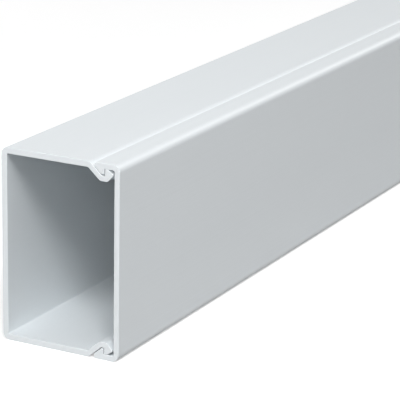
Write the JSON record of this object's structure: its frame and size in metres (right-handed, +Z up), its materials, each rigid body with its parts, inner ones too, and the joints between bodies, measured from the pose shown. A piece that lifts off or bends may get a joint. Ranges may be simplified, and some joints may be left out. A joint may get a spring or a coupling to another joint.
{
  "type": "cable trunking",
  "caption": "Rectangular white PVC cable trunking: a wall channel with inward snap lips and a slotted back, closed by a flush clip-on cover. Carries and hides cables along walls.",
  "frame": {"origin": "on the floor plane, below the middle of the piece", "axes": "+X along the length, +Y out of the back towards the wall, so the cover faces -Y, +Z up, across the trunking's width, as it stands on one long side"},
  "size_m": [2, 0.06, 0.09],
  "materials": {
    "base_pvc": "extruded rigid PVC, cool white, satin",
    "cover_pvc": "extruded rigid PVC, cool white, satin"
  },
  "bodies": {
    "base": {"base_channel": "base_pvc"},
    "cover": {"clip_on_cover": "cover_pvc"}
  },
  "joints": [
    {"name": "cover_slide", "type": "slide", "parent": "base", "child": "cover", "axis": [1, 0, 0], "range_m": [-2.05, 2.05]}
  ]
}
